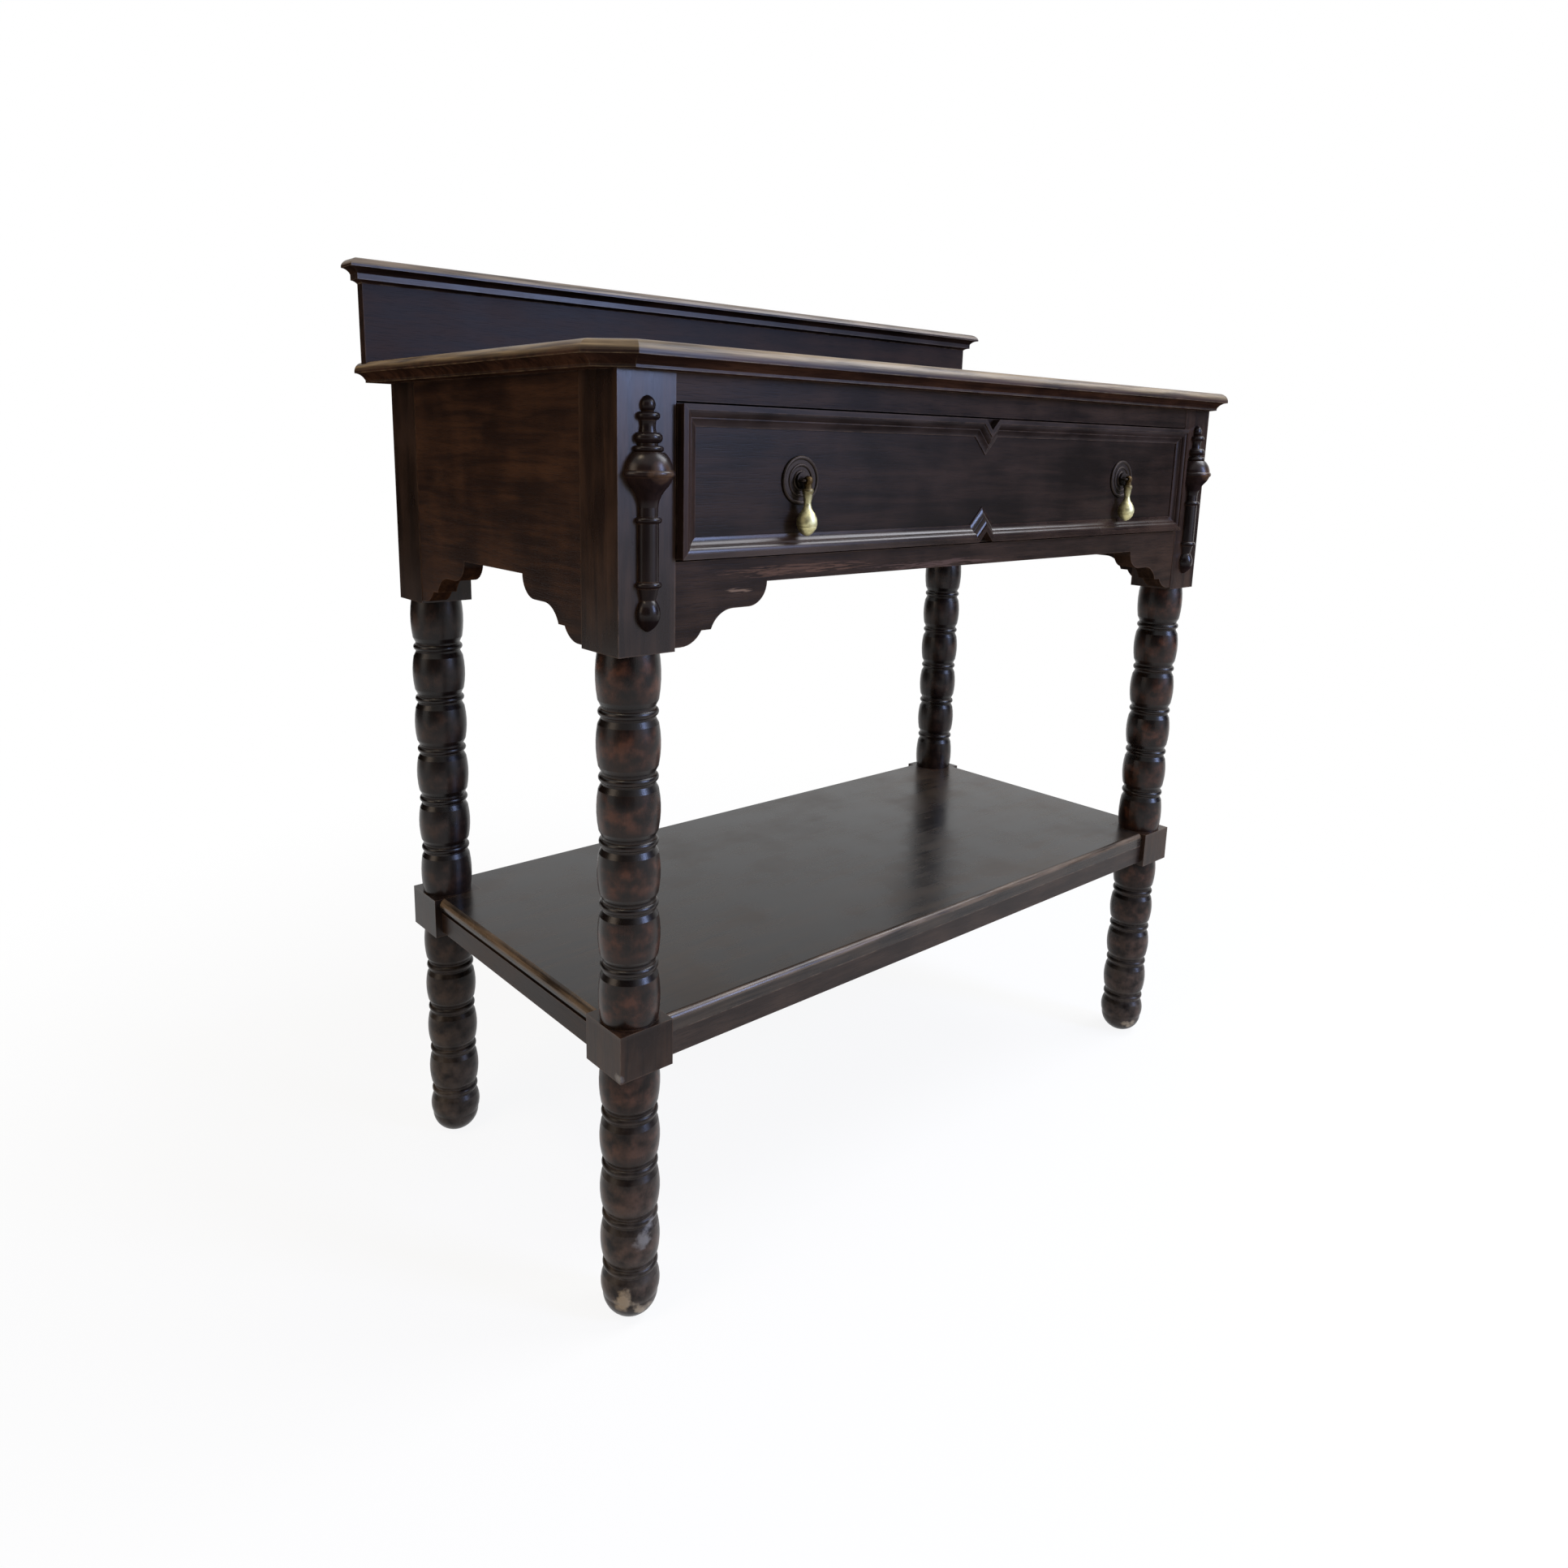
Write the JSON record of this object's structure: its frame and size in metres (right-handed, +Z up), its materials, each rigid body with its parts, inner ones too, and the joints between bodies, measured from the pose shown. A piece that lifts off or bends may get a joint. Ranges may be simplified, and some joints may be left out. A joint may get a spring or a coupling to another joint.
{
  "type": "lowboy",
  "caption": "Dark oak lowboy with a mitred-moulding drawer on pear-drop handles, bobbin-turned legs, fretted brackets, a low shelf and a capped back gallery.",
  "frame": {"origin": "on the floor under the middle of the bounding box", "axes": "+X to the viewer's right when facing the drawer, +Y to the back, +Z up; the drawer opens along -Y"},
  "size_m": [0.86, 0.42, 0.8625],
  "materials": {
    "stained_oak": "dark stained and waxed oak",
    "inner_oak": "unpolished oak",
    "brass_drop": "worn brass",
    "bronze_plate": "dark patinated brass"
  },
  "bodies": {
    "table": {"back_panel": "stained_oak", "drawer_guide_left": "inner_oak", "drawer_guide_right": "inner_oak", "drawer_runner_left": "inner_oak", "drawer_runner_right": "inner_oak", "drawer_stops": "inner_oak", "front_apron": "stained_oak", "front_top_rail": "stained_oak", "gallery_board": "stained_oak", "gallery_cap": "stained_oak", "kicker_left": "inner_oak", "kicker_right": "inner_oak", "leg_back_left": "stained_oak", "leg_back_right": "stained_oak", "leg_front_left": "stained_oak", "leg_front_right": "stained_oak", "shelf_board": "stained_oak", "shelf_rail_back": "stained_oak", "shelf_rail_front": "stained_oak", "shelf_rail_left": "stained_oak", "shelf_rail_right": "stained_oak", "side_panel_left": "stained_oak", "side_panel_right": "stained_oak", "split_turning_left": "stained_oak", "split_turning_right": "stained_oak", "top_board": "stained_oak"},
    "drawer": {"drawer_back": "inner_oak", "drawer_bottom": "inner_oak", "drawer_front": "stained_oak", "drawer_moulding_bottom": "stained_oak", "drawer_moulding_left": "stained_oak", "drawer_moulding_right": "stained_oak", "drawer_moulding_top": "stained_oak", "drawer_side_left": "inner_oak", "drawer_side_right": "inner_oak", "handle_nuts": "bronze_plate", "handle_plate_left": "bronze_plate", "handle_plate_right": "bronze_plate", "handle_staple_left": "bronze_plate", "handle_staple_right": "bronze_plate"},
    "drop_left": {"handle_drop_left": "brass_drop"},
    "drop_right": {"handle_drop_right": "brass_drop"}
  },
  "joints": [
    {"name": "drawer_slide", "type": "slide", "parent": "table", "child": "drawer", "axis": [0, -1, 0], "range_m": [0, 0.25]},
    {"name": "drop_left_swing", "type": "hinge", "parent": "drawer", "child": "drop_left", "pos_m": [-0.2255, -0.197, 0.68215], "axis": [-1, 0, 0], "range_deg": [0, 80]},
    {"name": "drop_right_swing", "type": "hinge", "parent": "drawer", "child": "drop_right", "pos_m": [0.2255, -0.197, 0.68215], "axis": [-1, 0, 0], "range_deg": [0, 80]}
  ]
}
